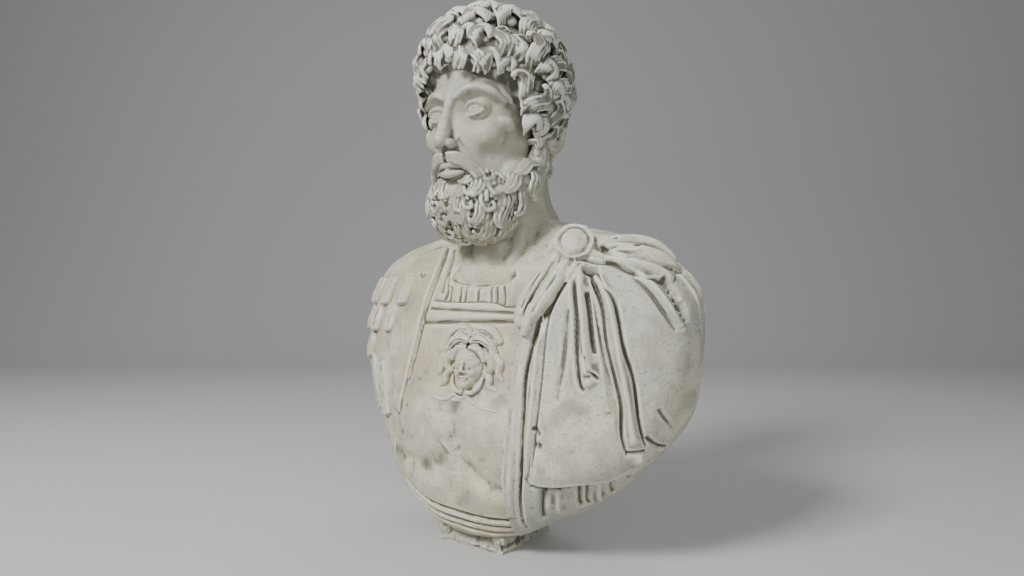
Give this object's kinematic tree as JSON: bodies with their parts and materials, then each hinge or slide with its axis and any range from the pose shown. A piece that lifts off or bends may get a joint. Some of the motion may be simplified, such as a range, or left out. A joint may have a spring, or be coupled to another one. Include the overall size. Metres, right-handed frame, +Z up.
{
  "type": "roman emperor bust",
  "caption": "Life-size marble portrait bust of a bearded Roman ruler in muscle cuirass, with a cloak pinned on the left shoulder.",
  "frame": {"origin": "middle of the flat underside, below the tablet and foot", "axes": "+Z up, -Y the way the chest faces, +X the figure's own left"},
  "size_m": [0.5134, 0.226, 0.6999],
  "materials": {
    "marble": "weathered off-white marble, matt, with warm stains, grey patches and darker grooves"
  },
  "bodies": {
    "root": {"bust": "marble"}
  },
  "joints": []
}
